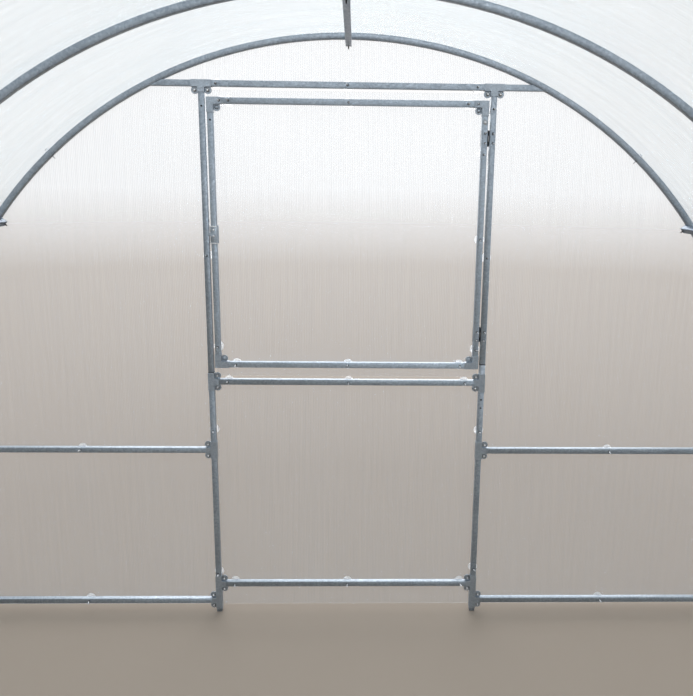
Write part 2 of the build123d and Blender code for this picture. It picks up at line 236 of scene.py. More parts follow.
def twin_wall(name, across, colour, glow, haze, streak):
    """Clear sheet with its flutes in a row along the axis across; glow is how much light it scatters."""
    finish, nodes, links, shader = new_finish(name, colour, 0.3)
    shader.inputs["IOR"].default_value = 1.58
    shader.inputs["Transmission Weight"].default_value = glow
    fine = [3.0, 0.0, 3.0]
    fine[across] = 0.55 / RIB_PITCH
    bowed = noise(nodes, links, stretched_place(nodes, links, fine), 1.0, 2.0)
    slow = [0.6, 0.6, 0.6]
    slow[across] = 9.0
    bands = noise(nodes, links, stretched_place(nodes, links, slow), 1.0, 2.0)
    ribs = nodes.new("ShaderNodeTexWave")
    ribs.wave_type = "BANDS"
    ribs.bands_direction = "XYZ"[across]
    ribs.wave_profile = "SIN"
    ribs.inputs["Scale"].default_value = 2.0 * math.pi / (WAVE_TURN * RIB_PITCH)
    links.new(stretched_place(nodes, links), ribs.inputs["Vector"])
    flute_haze = spread(nodes, links, bowed, haze - streak, haze + streak, 0.3, 0.7)
    band_haze = spread(nodes, links, bands, -0.4 * streak, 0.4 * streak, 0.3, 0.7)
    rib_haze = spread(nodes, links, ribs.outputs["Fac"], 0.0, RIB_HAZE, 0.85, 1.0)
    soft_haze = combined(nodes, links, "ADD", flute_haze, band_haze)
    alpha = combined(nodes, links, "ADD", soft_haze, rib_haze, clamp=True)
    links.new(alpha, shader.inputs["Alpha"])
    bump(nodes, links, shader, ribs.outputs["Fac"], RIB_HEIGHT, 0.6)
    return finish


wall_sheet = twin_wall("wall sheet", 0, (0.84, 0.91, 1.0), 0.12, 0.10, 0.015)
roof_sheet = twin_wall("roof sheet", 1, (0.50, 0.80, 1.0), 0.75, 0.16, 0.04)
print("finishes:", wall_sheet.name, "and", roof_sheet.name, "with a rib every", RIB_PITCH * 1000, "mm")

# %% [markdown]
# ## Washers of milky plastic
# Each screw through the sheet has a wide washer of milky plastic under its head, which seals the hole.
# Its rim shows on both sides of a tube as a pale crescent, because light passes through it. Glass that is as
# rough as can be does just that: it lets light through and scatters it every way.

# %% Milky plastic
milky, nodes, links, shader = new_finish("milky plastic", (0.97, 0.98, 0.99), 1.0)
shader.inputs["Transmission Weight"].default_value = 0.85
cloud = noise(nodes, links, stretched_place(nodes, links), 120.0, 3.0)
tones = ramp(nodes, links, cloud, [(0.3, (0.94, 0.955, 0.97)), (0.7, (0.99, 0.99, 0.995))])
links.new(tones, shader.inputs["Base Color"])
bump(nodes, links, shader, cloud, 0.0001, 0.5)
print("finish:", milky.name)

# %% [markdown]
# ## Finish and soften the solids
# Rolled square tube never has a knife edge: its corners are rounded by a millimetre or two. A Bevel
# modifier rounds them without touching the solid. The edges of the solids are split where faces meet, so a
# Weld modifier joins them first. Clear sheet keeps its crisp sawn edges.

# %% Give each solid its finish
TUBE_CORNER, CLAMP_CORNER = 0.0017, 0.0006
WELD_DISTANCE = 0.00001
FOLD_ANGLE = 35.0


def round_edges(piece, width, segments):
    """Rounds the edges that turn by more than the fold angle, by a width in metres."""
    corner = piece.modifiers.new("rounded edges", "BEVEL")
    corner.width = width
    corner.segments = segments
    corner.limit_method = "ANGLE"
    corner.angle_limit = math.radians(FOLD_ANGLE)
    corner.harden_normals = True


def soften(piece, width):
    """Joins a solid's split edges and rounds them."""
    piece.data.shade_smooth()
    weld = piece.modifiers.new("join faces", "WELD")
    weld.merge_threshold = WELD_DISTANCE
    round_edges(piece, width, 2)


def finish_for(node, slot):
    """The finish of a solid, from its name and its material slot."""
    if slot == "sheet":
        return roof_sheet if node.startswith("roof") else wall_sheet
    if slot == "clamp" or "latch" in node:
        return clamp_zinc
    if "hinge" in node:
        return dark_steel_and_painted_shade
    if "purlin" in node:
        return purlin_zinc
    # The leaf's tubes take the lighter copies of the zinc, as painted light.
    if "leaf" in node:
        return lit_rail_zinc if "rails" in node else lit_stile_zinc
    return tube_zinc


slot_of = {part["node"]: part["material_slot"] for part in frame["record"]["subparts"]}
for node, solid in cad_nodes.items():
    if slot_of[node] != "sheet":
        soften(solid, TUBE_CORNER if slot_of[node] == "tube" else CLAMP_CORNER)
    solid.data.materials.clear()
    solid.data.materials.append(finish_for(node, slot_of[node]))
print("finished", len(cad_nodes), "nodes")

# %% [markdown]
# ## Turned hardware
# A screw, a nut and a washer are all a profile turned round an axis: in many steps where it is round, and in
# six for a nut. We draw each kind once round the +Z axis and copy it to every hole.

# %% Turn profiles
def skin(rings, sides):
    """Faces that close a stack of rings of points into a shape."""
    faces = []
    for ring in range(rings - 1):
        low, high = ring * sides, (ring + 1) * sides
        for step in range(sides):
            after = (step + 1) % sides
            faces.append((low + step, low + after, high + after, high + step))
    faces.append(tuple(reversed(range(sides))))
    faces.append(tuple(range((rings - 1) * sides, rings * sides)))
    return faces


def turned(profile, sides):
    """Points and faces of a profile of (radius, height) turned round Z and closed at both ends."""
    points = []
    for radius, height in profile:
        for step in range(sides):
            angle = 2.0 * math.pi * (step + 0.5) / sides
            points.append(Vector((radius * math.cos(angle), radius * math.sin(angle), height)))
    return points, skin(len(profile), sides)


def add_shape(points, faces, shape):
    """Adds the points and faces of a shape to lists that may hold others."""
    start = len(points)
    points.extend(shape[0])
    faces.extend(tuple(start + index for index in face) for face in shape[1])


def joined(*shapes):
    """Several shapes as one."""
    points, faces = [], []
    for shape in shapes:
        add_shape(points, faces, shape)
    return points, faces


def raised(shape, height):
    """The same shape, moved along its axis."""
    return [point + Vector((0.0, 0.0, height)) for point in shape[0]], shape[1]


# %% [markdown]
# ## From shapes to pieces
# Every piece that we add is a mesh with a finish. It also needs a body to ride on, so
# that what is screwed to the leaf opens with it.

# %% Make pieces
SHARP_ANGLE = 40.0


def new_piece(name, points, faces, finish, body):
    """A mesh as a piece that rides on a body."""
    mesh = bpy.data.meshes.new(name)
    mesh.from_pydata([tuple(point) for point in points], [], faces)
    mesh.materials.append(finish)
    piece = bpy.data.objects.new(name, mesh)
    scene.collection.objects.link(piece)
    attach(piece, body)
    return piece


def facing(axis):
    """A turn that points +Z along an axis."""
    return Vector((0.0, 0.0, 1.0)).rotation_difference(Vector(axis)).to_matrix().to_4x4()


def scatter(name, shape, places, finish, body):
    """One piece that holds a copy of a shape at each place; places are (point, axis, spin in degrees)."""
    points, faces = [], []
    for point, axis, spin in places:
        pose = Matrix.Translation(Vector(point)) @ facing(axis) @ Matrix.Rotation(math.radians(spin), 4, "Z")
        add_shape(points, faces, ([pose @ corner for corner in shape[0]], shape[1]))
    mesh = new_piece(name, points, faces, finish, body).data
    mesh.shade_smooth()
    mesh.set_sharp_from_angle(angle=math.radians(SHARP_ANGLE))
    print(name, len(places), "copies,", len(faces), "faces")


# %% [markdown]
# ## Where the tubes are
# Screws and clamps sit on the tubes' centre lines, which we measure from the solids. A node may hold several
# tubes, so its mesh is first parted into the solids that it is made of.

# %% Measure the tubes
def clusters(node):
    """The boxes (low, high) of the separate solids of a node."""
    mesh = bmesh.new()
    mesh.from_mesh(cad_nodes[node].data)
    bmesh.ops.remove_doubles(mesh, verts=mesh.verts, dist=WELD_DISTANCE)
    boxes, waiting = [], set(mesh.verts)
    while waiting:
        group, reach = [], [waiting.pop()]
        while reach:
            vertex = reach.pop()
            group.append(vertex.co.copy())
            for edge in vertex.link_edges:
                other = edge.other_vert(vertex)
                if other in waiting:
                    waiting.remove(other)
                    reach.append(other)
        low = Vector(min(point[axis] for point in group) for axis in range(3))
        high = Vector(max(point[axis] for point in group) for axis in range(3))
        boxes.append((low, high))
    mesh.free()
    return sorted(boxes, key=lambda box: tuple(round(value, 4) for value in box[0]))


def middles(node, axis):
    """The different middle places of a node's solids along an axis, lowest first."""
    return sorted({round((low[axis] + high[axis]) / 2.0, 5) for low, high in clusters(node)})


X, Y, Z = 0, 1, 2
POST_X = middles("front_right_post", X)[0]
LINTEL_Z = middles("front_lintel", Z)[0]
FOOT_RAIL_Z, MID_RAIL_Z = middles("front_side_rails", Z)
LOW_BAR_Z, HIGH_BAR_Z = middles("front_crossbars", Z)
STILE_X = middles("leaf_stiles", X)[1]
LEAF_FOOT_Z, LEAF_TOP_Z = middles("leaf_rails", Z)
LOWER_LEAF_FOOT_Z, LOWER_LEAF_TOP_Z = middles("back_leaf_rails", Z)[:2]
WALL_Y = -middles("front_lintel", Y)[0]
TUBE_HALF = (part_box("front_lintel")[1].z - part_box("front_lintel")[0].z) / 2.0
INSIDE_Y = WALL_Y - TUBE_HALF
SHEET_OUTSIDE_Y = -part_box("front_left_sheet")[0].y
print("posts at x", POST_X, "stiles at", STILE_X, "lintel at z", LINTEL_Z, "wall at y", WALL_Y)

# %% [markdown]
# ## Pressed clamps
# Each joint of the end wall is held by a clamp of two pressed halves. Sheet steel wraps round the tubes as a
# sleeve with soft corners, and flat ears stand out in the crook of the joint, where a bolt pulls the halves
# together. A sleeve could be cut from a block, but it is sheet metal: we draw its outer skin only and let
# Solidify give it its thickness, then round its folds with Bevel.

# %% Outlines of the sleeves
SLEEVE_HALF = (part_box("front_clamps")[1].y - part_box("front_clamps")[0].y) / 2.0
SLEEVE_SHEET, SLEEVE_FOLD = 0.0015, 0.0011
TEE_BAR, TEE_STEM, ELL_ARM = 0.034, 0.028, 0.038
INNER_BEND, BEND_STEPS = 0.004, 4


def pressed(outline, inner, ends):
    """The outline with its inner corners bent in an arc, and the numbers of its open end edges."""
    points, open_edges = [], []
    for index, point in enumerate(outline):
        if index in ends:
            open_edges.append(len(points))
        if index not in inner:
            points.append(point)
            continue
        corner = Vector(point)
        back_way = (Vector(outline[index - 1]) - corner).normalized()
        next_way = (Vector(outline[(index + 1) % len(outline)]) - corner).normalized()
        centre = corner + INNER_BEND * (back_way + next_way)
        for step in range(BEND_STEPS + 1):
            angle = math.radians(90.0 * step / BEND_STEPS)
            bend = INNER_BEND * (next_way * math.cos(angle) + back_way * math.sin(angle))
            points.append(tuple(centre - bend))
    return points, open_edges


edge = SLEEVE_HALF
tee = [(-TEE_BAR, edge), (TEE_BAR, edge), (TEE_BAR, -edge), (edge, -edge),
       (edge, -TEE_STEM), (-edge, -TEE_STEM), (-edge, -edge), (-TEE_BAR, -edge)]
ell = [(-edge, -edge), (-edge, ELL_ARM), (edge, ELL_ARM), (edge, edge), (ELL_ARM, edge), (ELL_ARM, -edge)]
TEE, TEE_OPEN = pressed(tee, (3, 6), (1, 4, 7))
ELL, ELL_OPEN = pressed(ell, (3,), (1, 4))
print("sleeves are", round(2000.0 * SLEEVE_HALF, 2), "mm across, tubes", round(2000.0 * TUBE_HALF, 2), "mm")

# %% [markdown]
# ## Ears of the clamps
# The ears are flat plates, two to a bolt, with a fine gap between them. Each is a round tab that grows out
# of the crook of the sleeve, so its outline is three quarters of a circle and one straight corner.

# %% Outline of an ear
EAR_OFFSET, EAR_RADIUS, EAR_STEPS = 0.0215, 0.0125, 24
EAR_HALF_GAP, EAR_SHEET, EAR_FOLD = 0.00015, 0.0013, 0.0004
EAR_FACE = EAR_HALF_GAP + EAR_SHEET
TEE_EARS, ELL_EARS = ((-1, -1), (1, -1)), ((1, 1),)


def ear_outline(side_u, side_v):
    """A rounded tab at one corner of a clamp."""
    root = EAR_OFFSET - EAR_RADIUS
    tab = [(root, root)]
    for step in range(EAR_STEPS + 1):
        angle = math.radians(-90.0 + 270.0 * step / EAR_STEPS)
        tab.append((EAR_OFFSET + EAR_RADIUS * math.cos(angle), EAR_OFFSET + EAR_RADIUS * math.sin(angle)))
    return [(side_u * u, side_v * v) for u, v in tab]


def plate(outline, low, high):
    """An outline in u and v as a plate between two depths."""
    count = len(outline)
    points = [(u, low, v) for u, v in outline] + [(u, high, v) for u, v in outline]
    faces = [tuple(range(count)), tuple(reversed(range(count, 2 * count)))]
    faces += [(step, count + step, count + (step + 1) % count, (step + 1) % count) for step in range(count)]
    return points, faces


print("ears are", EAR_SHEET * 1000.0, "mm thick and", EAR_RADIUS * 1000.0, "mm in radius")

# %% [markdown]
# ## Put the clamps on the joints
# Tees sit where a bar meets a post, and corners where a leaf's stiles and rails meet. Each clamp has a
# centre and two ways, u and v, that turn its outline, so one outline serves every joint of its kind.

# %% Places of the clamps
def wall_tees(wall):
    """Tees of an end wall's lintel and side rails: (centre, u, v, kind), with u and v as ways in x and z."""
    clamps = []
    for side in (-1, 1):
        clamps.append(((side * POST_X, wall, LINTEL_Z), (1, 0), (0, 1), "tee"))
        clamps += [((side * POST_X, wall, z), (0, 1), (-side, 0), "tee") for z in (MID_RAIL_Z, FOOT_RAIL_Z)]
    return clamps


def leaf_corners(wall, foot, top):
    """Corner clamps of one leaf."""
    return [((side * STILE_X, wall, z), (-side, 0), (0, up), "ell")
            for side in (-1, 1) for z, up in ((foot, 1), (top, -1))]


front_tees = wall_tees(-WALL_Y)
front_tees += [((side * POST_X, -WALL_Y, z), (0, 1), (side, 0), "tee")
               for side in (-1, 1) for z in (HIGH_BAR_Z, LOW_BAR_Z)]
back_tees = wall_tees(WALL_Y)
leaf_ells = leaf_corners(-WALL_Y, LEAF_FOOT_Z, LEAF_TOP_Z)
back_ells = leaf_corners(WALL_Y, LEAF_FOOT_Z, LEAF_TOP_Z)
back_ells += leaf_corners(WALL_Y, LOWER_LEAF_FOOT_Z, LOWER_LEAF_TOP_Z)
print("clamps:", len(front_tees), "front,", len(back_tees), "back,", len(leaf_ells + back_ells), "on leaves")

# %% Press the clamps
def on_clamp(clamp, u, y, v):
    """The point that is u, y and v from a clamp's centre."""
    (centre_x, centre_y, centre_z), u_way, v_way, _ = clamp
    x = centre_x + u * u_way[0] + v * v_way[0]
    z = centre_z + u * u_way[1] + v * v_way[1]
    return Vector((x, centre_y + y, z))


def pressed_piece(name, shape, body):
    """A piece of clamp steel whose faces all look outward."""
    piece = new_piece(name, shape[0], shape[1], clamp_zinc, body)
    outward = bmesh.new()
    outward.from_mesh(piece.data)
    bmesh.ops.recalc_face_normals(outward, faces=outward.faces)
    outward.to_mesh(piece.data)
    outward.free()
    piece.data.shade_smooth()
    return piece


def pressed_clamps(name, clamps, body, node):
    """Sleeves and ears of a list of clamps; returns the ears' bolt places."""
    sleeves, ears, bolts = ([], []), ([], []), []
    for clamp in clamps:
        outline, gaps, tabs = (TEE, TEE_OPEN, TEE_EARS) if clamp[3] == "tee" else (ELL, ELL_OPEN, ELL_EARS)
        points, faces = plate(outline, -SLEEVE_HALF, SLEEVE_HALF)
        kept = faces[:2] + [face for step, face in enumerate(faces[2:]) if step not in gaps]
        add_shape(*sleeves, ([on_clamp(clamp, *point) for point in points], kept))
        for side_u, side_v in tabs:
            for low, high in ((EAR_HALF_GAP, EAR_FACE), (-EAR_FACE, -EAR_HALF_GAP)):
                points, faces = plate(ear_outline(side_u, side_v), low, high)
                add_shape(*ears, ([on_clamp(clamp, *point) for point in points], faces))
            bolts.append(on_clamp(clamp, side_u * EAR_OFFSET, 0.0, side_v * EAR_OFFSET))
    sleeve_piece = pressed_piece(f"{name}_sleeves", sleeves, body)
    sheet = sleeve_piece.modifiers.new("sheet", "SOLIDIFY")
    sheet.thickness = SLEEVE_SHEET
    sheet.offset = -1.0
    sheet.use_even_offset = True
    round_edges(sleeve_piece, SLEEVE_FOLD, 3)
    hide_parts(node)
    round_edges(pressed_piece(f"{name}_ears", ears, body), EAR_FOLD, 2)
    print(name, len(clamps), "clamps with", len(bolts), "bolts")
    return bolts


front_bolts = pressed_clamps("front_clamp", front_tees, "greenhouse", "front_clamps")
back_bolts = pressed_clamps("back_clamp", back_tees, "greenhouse", "back_clamps")
leaf_bolts = pressed_clamps("leaf_clamp", leaf_ells, "leaf", "leaf_clamps")
back_leaf_bolts = pressed_clamps("back_leaf_clamp", back_ells, "greenhouse", "back_leaf_clamps")

# %% [markdown]
# ## Bolts through the ears
# A short bolt with a domed head goes through each pair of ears and takes a washer and a nut. The nut is a
# hexagon with its corners turned off, just under 10 mm across the flats. No two are left at the same turn,
# so each gets its own spin. On the fixed frame the nuts are inside, and on the leaves they are outside.

# %% Bolts, washers and nuts
NUT_RADIUS, NUT_HEIGHT, NUT_CHAMFER = 0.0056, 0.0045, 0.0007
BOLT_RADIUS, WASHER_HEIGHT = 0.003, 0.0012

nut = turned([(0.0046, 0.0), (NUT_RADIUS, NUT_CHAMFER), (NUT_RADIUS, NUT_HEIGHT - NUT_CHAMFER),
              (0.0046, NUT_HEIGHT)], 6)
washer = turned([(0.0069, 0.0), (0.0072, 0.0003), (0.0072, 0.0009), (0.0069, WASHER_HEIGHT)], 24)
bolt_end = turned([(BOLT_RADIUS, 0.0), (BOLT_RADIUS, 0.0027), (0.0024, 0.0033)], 16)
bolt_head = turned([(0.0072, 0.0), (0.0074, 0.0004), (0.0070, 0.0015), (0.0058, 0.0026),
                    (0.0036, 0.0035), (0.0012, 0.0038)], 24)
nut_side = joined(washer, raised(nut, WASHER_HEIGHT))
end_side = raised(bolt_end, WASHER_HEIGHT + NUT_HEIGHT)
rng = random.Random(7)


def ear_bolts(name, places, nut_way, body):
    """Nuts on one side of the ears and heads on the other; nut_way is the nuts' way along Y."""
    lift = Vector((0.0, nut_way * EAR_FACE, 0.0))
    nuts = [(place + lift, (0, nut_way, 0), rng.uniform(0, 60)) for place in places]
    heads = [(place - lift, (0, -nut_way, 0), rng.uniform(0, 60)) for place in places]
    scatter(f"{name}_nuts", nut_side, nuts, nut_zinc, body)
    scatter(f"{name}_bolt_ends", end_side, nuts, bright_zinc_and_highlight, body)
    scatter(f"{name}_heads", bolt_head, heads, clamp_zinc, body)


ear_bolts("front_clamp", front_bolts, 1, "greenhouse")
ear_bolts("leaf_clamp", leaf_bolts, -1, "leaf")
ear_bolts("back_clamp", back_bolts, -1, "greenhouse")
ear_bolts("back_leaf_clamp", back_leaf_bolts, 1, "greenhouse")

# %% [markdown]
# ## A threaded screw end
# Self-drilling screws come in from outside, and their threaded ends poke out of the tubes inside. A thread
# could be a stack of rings, but a real one winds: each point's radius depends on its height and its turn
# together, so the crest climbs as a helix.

# %% Screw ends
SCREW_RADIUS, THREAD_DEPTH, THREAD_PITCH = 0.0024, 0.0005, 0.0016
THREAD_SIDES, ROWS_PER_PITCH = 12, 3.0
WALL_TIP, HINGE_TIP, ROOF_TIP, CROSSING_TIP = 0.0140, 0.0170, 0.0080, 0.0060


def threaded(length):
    """A threaded screw end of a length, with a drill point."""
    rows = int(length / (THREAD_PITCH / ROWS_PER_PITCH))
    points = []
    for row in range(rows + 1):
        height = length * row / rows
        for step in range(THREAD_SIDES):
            angle = 2.0 * math.pi * step / THREAD_SIDES
            phase = (height / THREAD_PITCH - step / THREAD_SIDES) % 1.0
            radius = SCREW_RADIUS - THREAD_DEPTH * abs(2.0 * phase - 1.0)
            points.append(Vector((radius * math.cos(angle), radius * math.sin(angle), height)))
    drill = turned([(0.0019, 0.0), (0.0019, 0.0030), (0.0003, 0.0046)], 8)
    return joined((points, skin(rows + 1, THREAD_SIDES)), raised(drill, length))


tip = threaded(WALL_TIP)
print("a wall screw's end has", len(tip[0]), "points")

# %% [markdown]
# ## Screws of the end walls' sheet
# Each goes through a wide milky washer, the sheet and the tube. Outside we see a six-sided head on the
# washer. Inside, the drill tip pokes out of the tube through a burr, whose dark colour is painted shade
# of the hole. Their places follow the real wall: near the clamps and at the middle of each bar.

# %% Places of the wall screws
ARCH_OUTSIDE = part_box("front_end_arch")[1].x
ARCH_CENTRE_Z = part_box("front_end_arch")[1].z - ARCH_OUTSIDE
SCREW_LINE = ARCH_OUTSIDE - TUBE_HALF


def on_arch(degrees):
    """A point on the middle line of the end arch, as (x, z)."""
    angle = math.radians(degrees)
    return SCREW_LINE * math.cos(angle), ARCH_CENTRE_Z + SCREW_LINE * math.sin(angle)


wall_screws = [(0.439, LINTEL_Z), (0.003, LINTEL_Z), (-0.431, LINTEL_Z)]
wall_screws += [(POST_X, z) for z in (1.367, 0.730, 0.157)]
wall_screws += [(-POST_X, z) for z in (1.867, 1.367, 0.730, 0.175)]
wall_screws += [(0.972, MID_RAIL_Z), (-0.974, MID_RAIL_Z), (0.984, FOOT_RAIL_Z), (-0.985, FOOT_RAIL_Z)]
wall_screws += [on_arch(degrees) for degrees in (16.0, 164.0)]
wall_screws += [(side * SCREW_LINE, 0.25) for side in (-1, 1)]
panel_screws = [(0.428, HIGH_BAR_Z), (-0.005, HIGH_BAR_Z), (-0.425, HIGH_BAR_Z)]
panel_screws += [(0.426, LOW_BAR_Z), (-0.003, LOW_BAR_Z), (-0.437, LOW_BAR_Z)]
leaf_screws = [(x, LEAF_TOP_Z) for x in (0.429, 0.399, -0.001, -0.402, -0.436)]
leaf_screws += [(x, LEAF_FOOT_Z) for x in (0.398, -0.002, -0.405)]
leaf_screws += [(STILE_X, 1.043), (-STILE_X, 1.718), (-STILE_X, 1.431), (-STILE_X, 1.037)]
lower_leaf_screws = [(x, z) for x in (0.40, 0.0, -0.40) for z in (LOWER_LEAF_FOOT_Z, LOWER_LEAF_TOP_Z)]
lower_leaf_screws += [(side * STILE_X, z) for side in (-1, 1) for z in (0.30, 0.68)]
print("screws:", len(wall_screws), "wall,", len(panel_screws), "panel,", len(leaf_screws), "leaf")

# %% Screws of the end walls
CAP_HEIGHT, CAP_GAP = 0.0039, 0.0003
HAND_LEAN = 0.22

# A burr: a low ring round each tip, dark as painted shade of the hole.
burr_shade = turned([(0.0041, 0.0), (0.0038, 0.0005), (0.0025, 0.0008)], 16)
cap = turned([(0.0170, 0.0), (0.0176, 0.0006), (0.0174, 0.0016), (0.0150, 0.0030),
              (0.0105, 0.0037), (0.0055, CAP_HEIGHT)], 32)
screw_head = turned([(0.0048, 0.0), (0.0048, 0.0028), (0.0043, 0.0033)], 6)


def leaning(inward):
    """A way along Y that leans by up to 12 degrees in x and in z, as a screw driven by hand does."""
    return rng.uniform(-HAND_LEAN, HAND_LEAN), inward, rng.uniform(-HAND_LEAN, HAND_LEAN)


def sleeve_lift(x, z):
    """How far a clamp's sleeve lifts the burr of a screw at x, z of a leaf."""
    covered = z in (LEAF_FOOT_Z, LEAF_TOP_Z) and TUBE_HALF < STILE_X - abs(x) < ELL_ARM
    return SLEEVE_HALF - TUBE_HALF if covered else 0.0


def sheet_screws(name, places, inward, body):
    """Tips with burrs of painted shade inside, milky caps and heads outside, for one wall."""
    tips = [((x, -inward * INSIDE_Y, z), leaning(inward), rng.uniform(0, 60)) for x, z in places]
    cap_y = -inward * (SHEET_OUTSIDE_Y + CAP_GAP)
    caps = [((x, cap_y, z), (0, -inward, 0), rng.uniform(0, 60)) for x, z in places]
    heads = [((x, y - inward * CAP_HEIGHT, z), way, spin) for (x, y, z), way, spin in caps]
    burr_shades = [((x, y + inward * sleeve_lift(x, z), z), (0, inward, 0), spin) for (x, y, z), _, spin in tips]
    scatter(f"{name}_tips", tip, tips, bright_zinc_and_highlight, body)
    scatter(f"{name}_burrs", burr_shade, burr_shades, dark_steel_and_painted_shade, body)
    scatter(f"{name}_caps", cap, caps, milky, body)
    scatter(f"{name}_screw_heads", screw_head, heads, bright_zinc_and_highlight, body)


sheet_screws("front_wall", wall_screws + panel_screws, 1, "greenhouse")
sheet_screws("leaf", leaf_screws, 1, "leaf")
sheet_screws("back_wall", wall_screws + leaf_screws + lower_leaf_screws, -1, "greenhouse")

# %% [markdown]
# ## Holes left open
# A few drilled holes stay empty: the posts suit either hand of door, and some holes were drilled for a spare
# screw. A hole would need a cut in the solid. Instead a dark disc in a thin raised rim paints the shade
# inside the hole.

# %% Open holes
# The disc's near-black colour is painted shade inside the hole.
hole_shade = turned([(0.0033, 0.0), (0.0032, 0.0002)], 16)
rim_points, rim_faces = turned([(0.0044, 0.0), (0.0042, 0.0005), (0.0034, 0.0005), (0.0032, 0.0)], 16)
rim = (rim_points, rim_faces[:-2])
post_holes = [(-POST_X, 0.853), (-POST_X, 0.821), (POST_X, 1.864)]
stile_holes = [(STILE_X, 1.820)]


def open_holes(name, places, inward, body):
    """Discs of painted shade for the holes, with their rims on the inner face of a wall's tubes."""
    spots = [((x, -inward * INSIDE_Y, z), (0, inward, 0), 0.0) for x, z in places]
    scatter(f"{name}_holes", hole_shade, spots, dark_steel_and_painted_shade, body)
    scatter(f"{name}_hole_rims", rim, spots, clamp_zinc, body)


open_holes("front_post", post_holes, 1, "greenhouse")
open_holes("leaf", stile_holes, 1, "leaf")
open_holes("back_post", post_holes, -1, "greenhouse")

# %% [markdown]
# ## The joint of each post
# A post is two lengths of tube with a few millimetres between them, and the crimped neck shows dark inside
# the gap. A dark sleeve round the neck, level with the faces of the tube, paints the shade in the gap and
# the dirt that gathers there.

# %% Painted shade and dirt in the joints
NECK_HALF, JOINT_GAP, SHADE_AND_DIRT_LIFT = 0.0085, 0.003, 0.0001
CORNERS = ((-1, -1), (1, -1), (1, 1), (-1, 1))
for node in ("front_left_post", "front_right_post", "back_left_post", "back_right_post"):
    gap_top = max(box[0].z for box in clusters(node))
    middle_x = (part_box(node)[0].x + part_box(node)[1].x) / 2.0
    middle_y = (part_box(node)[0].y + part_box(node)[1].y) / 2.0
    ring, quads = [], []
    for z in (gap_top - JOINT_GAP, gap_top):
        for reach in (NECK_HALF + SHADE_AND_DIRT_LIFT, TUBE_HALF + SHADE_AND_DIRT_LIFT):
            ring += [(middle_x + u * reach, middle_y + v * reach, z) for u, v in CORNERS]
    for step in range(4):
        after = (step + 1) % 4
        quads += [(4 + step, 4 + after, 12 + after, 12 + step), (step, 8 + step, 8 + after, after),
                  (8 + step, 12 + step, 12 + after, 8 + after), (step, after, 4 + after, 4 + step)]
    # The dark sleeve is painted shade in the gap, with some dirt.
    new_piece(f"{node}_shade_and_dirt", ring, quads, dark_steel_and_painted_shade, "greenhouse")
    print(node, "has a gap up to", round(gap_top, 4))

# %% [markdown]
# ## Hinge screws
# Four screws hold each hinge. They are longer than the others, because they go through plate, sheet and
# tube. Outside they have low round heads, and inside their tips show in pairs on either side of the gap.

# %% Screws of the hinges
HINGE_SCREW_RISE, HINGE_PLATE_RISE = 0.0155, 0.0023
POST_HINGE_X, LEAF_HINGE_X = -0.4885, -0.4625
pan_head = turned([(0.0038, 0.0), (0.0039, 0.0006), (0.0036, 0.0014), (0.0026, 0.0021), (0.0010, 0.0024)], 20)
long_tip = threaded(HINGE_TIP)


def hinge_screws(name, node, x_places, inward, body):
    """Screws through the plates of a node, at the x places, above and below each plate's middle."""
    tips, heads = [], []
    outside = max(abs(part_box(node)[0].y), abs(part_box(node)[1].y))
    plate_face = min(outside, SHEET_OUTSIDE_Y + HINGE_PLATE_RISE)
    for z in middles(node, Z):
        for x in x_places:
            for rise in (-HINGE_SCREW_RISE, HINGE_SCREW_RISE):
                spin = rng.uniform(0, 60)
                tips.append(((x, -inward * INSIDE_Y, z + rise), leaning(inward), spin))
                heads.append(((x, -inward * plate_face, z + rise), (0, -inward, 0), spin))
    scatter(f"{name}_tips", long_tip, tips, bright_zinc_and_highlight, body)
    # The burrs are painted shade round the hinge screws' tips.
    scatter(f"{name}_burrs", burr_shade, tips, dark_steel_and_painted_shade, body)
    scatter(f"{name}_heads", pan_head, heads, bright_zinc_and_highlight, body)


hinge_screws("hinge_post_screws", "hinge_post_plates", [POST_HINGE_X], 1, "greenhouse")
hinge_screws("hinge_leaf_screws", "hinge_leaf_plates", [LEAF_HINGE_X], 1, "leaf")
hinge_screws("back_hinge_screws", "back_hinges", [POST_HINGE_X, LEAF_HINGE_X], -1, "greenhouse")

# %% [markdown]
# ## The bolt above the upper hinge
# One bolt goes through the hinge stile of the leaf, just above the upper hinge. Inside it has a small round
# head on a wide washer, and outside a nut. The back wall has the same.

# %% Bolt above the upper hinge
STILE_BOLT_Z, NUT_SPIN = 1.823, 20.0
WIDE_WASHER_HEIGHT = 0.0016
wide_washer = turned([(0.0080, 0.0), (0.0083, 0.0004), (0.0083, 0.0012), (0.0080, WIDE_WASHER_HEIGHT)], 24)
low_head = turned([(0.0046, 0.0), (0.0044, 0.0014), (0.0034, 0.0024), (0.0014, 0.0029)], 16)
small_head = raised(low_head, WIDE_WASHER_HEIGHT)
for name, inward, body in (("leaf_stile_bolt", 1, "leaf"), ("back_stile_bolt", -1, "greenhouse")):
    head_spot = [((-STILE_X, -inward * INSIDE_Y, STILE_BOLT_Z), (0, inward, 0), 0.0)]
    nut_spot = [((-STILE_X, -inward * SHEET_OUTSIDE_Y, STILE_BOLT_Z), (0, -inward, 0), NUT_SPIN)]
    scatter(f"{name}_washer", wide_washer, head_spot, nut_zinc, body)
    scatter(f"{name}_head", small_head, head_spot, bright_zinc_and_highlight, body)
    scatter(f"{name}_nut", nut_side, nut_spot, nut_zinc, body)
    scatter(f"{name}_end", end_side, nut_spot, bright_zinc_and_highlight, body)

# %% [markdown]
# ## The latch
# The latch is a plate on each side of the free stile, bolted through it, and a small lever on the inner
# plate that reaches over the post. The lever turns on the lower bolt. It is cut from flat bar with round
# ends, so we draw that outline once and turn it to the slope that it has when the leaf is shut. The inner
# plate's two ends are rolled over, and their bright zinc is a painted highlight along each fold.

